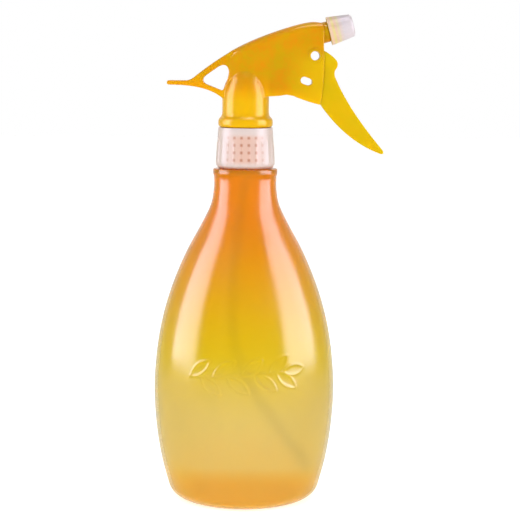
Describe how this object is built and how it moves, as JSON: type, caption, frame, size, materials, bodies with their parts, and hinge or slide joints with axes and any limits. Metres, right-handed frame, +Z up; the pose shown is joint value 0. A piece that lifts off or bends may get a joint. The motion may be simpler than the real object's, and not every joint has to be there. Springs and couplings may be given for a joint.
{
  "type": "hand mister",
  "caption": "Hand mister: translucent blow-moulded bottle with a screw collar, a trigger sprayer head with a rear hand rest, a dip tube and a screw nozzle.",
  "frame": {"origin": "on the standing plane, below the middle of the object's length and width; the bottle's axis is 12.2 mm behind it, at -X", "axes": "+Z up along the bottle's axis, +X the way the nozzle sprays, +Y to the left seen from behind"},
  "size_m": [0.1184, 0.0944, 0.2527],
  "materials": {
    "bottle_plastic": "translucent satin",
    "amber_plastic": "translucent gloss",
    "frosted_plastic": "translucent satin",
    "natural_plastic": "satin",
    "seal_rubber": "matt",
    "spring_steel": "bright drawn wire",
    "valve_glass": "polished"
  },
  "bodies": {
    "bottle_body": {"bottle": "bottle_plastic"},
    "gasket_body": {"neck_gasket": "seal_rubber"},
    "head_body": {"sprayer_body": "amber_plastic", "intake_fitting": "natural_plastic", "inlet_valve_cap": "natural_plastic", "dip_tube": "natural_plastic", "return_spring": "spring_steel", "outlet_valve_spring": "spring_steel", "swirl_core": "natural_plastic", "trigger_pivot_sleeve": "amber_plastic"},
    "collar_body": {"screw_collar": "frosted_plastic"},
    "trigger_body": {"trigger": "amber_plastic"},
    "piston_body": {"pump_piston": "natural_plastic", "piston_cup_seal": "seal_rubber", "piston_vent_seal": "seal_rubber"},
    "inlet_ball_body": {"inlet_valve_ball": "valve_glass"},
    "outlet_ball_body": {"outlet_valve_ball": "valve_glass"},
    "nozzle_seal_body": {"nozzle_seal": "seal_rubber"},
    "nozzle_cap_body": {"nozzle_cap": "frosted_plastic"}
  },
  "joints": [
    {"name": "head_lift", "type": "slide", "parent": "bottle_body", "child": "gasket_body", "axis": [0, 0, 1], "range_m": [0, 0.185], "deforming": ["dip_tube"]},
    {"name": "head_rise", "type": "slide", "parent": "gasket_body", "child": "head_body", "axis": [0, 0, 1], "range_m": [0, 0.0057]},
    {"name": "collar_turn", "type": "hinge", "parent": "head_body", "child": "collar_body", "pos_m": [-0.0122, 0, 0.184], "axis": [0, 0, 1], "range_deg": [0, 540]},
    {"name": "trigger_squeeze", "type": "hinge", "parent": "head_body", "child": "trigger_body", "pos_m": [0.0234, 0, 0.2315], "axis": [0, 1, 0], "range_deg": [0, 18], "stiffness_Nm_per_rad": 0.3, "springref_deg": -14.32},
    {"name": "piston_stroke", "type": "slide", "parent": "head_body", "child": "piston_body", "axis": [-1, 0, 0], "range_m": [0, 0.00547], "deforming": ["return_spring"]},
    {"name": "inlet_ball_lift", "type": "slide", "parent": "head_body", "child": "inlet_ball_body", "axis": [0, 0, 1], "range_m": [0, 0.0012]},
    {"name": "outlet_ball_lift", "type": "slide", "parent": "head_body", "child": "outlet_ball_body", "axis": [0.9659, 0, 0.2588], "range_m": [0, 0.0012], "stiffness_N_per_m": 60, "springref_m": -0.002, "deforming": ["outlet_valve_spring"]},
    {"name": "nozzle_travel", "type": "slide", "parent": "head_body", "child": "nozzle_seal_body", "axis": [0.9659, 0, 0.2588], "range_m": [0, 0.0026]},
    {"name": "nozzle_turn", "type": "hinge", "parent": "nozzle_seal_body", "child": "nozzle_cap_body", "pos_m": [0.0361, 0, 0.24554], "axis": [0.9659, 0, 0.2588], "range_deg": [0, 360]}
  ],
  "couplings": [
    {"joint": "collar_turn", "follows": "head_rise", "rad_per_m": 1653.5},
    {"joint": "piston_stroke", "follows": "trigger_squeeze", "m_per_rad": 0.017392},
    {"joint": "nozzle_turn", "follows": "nozzle_travel", "rad_per_m": 2416.6}
  ]
}
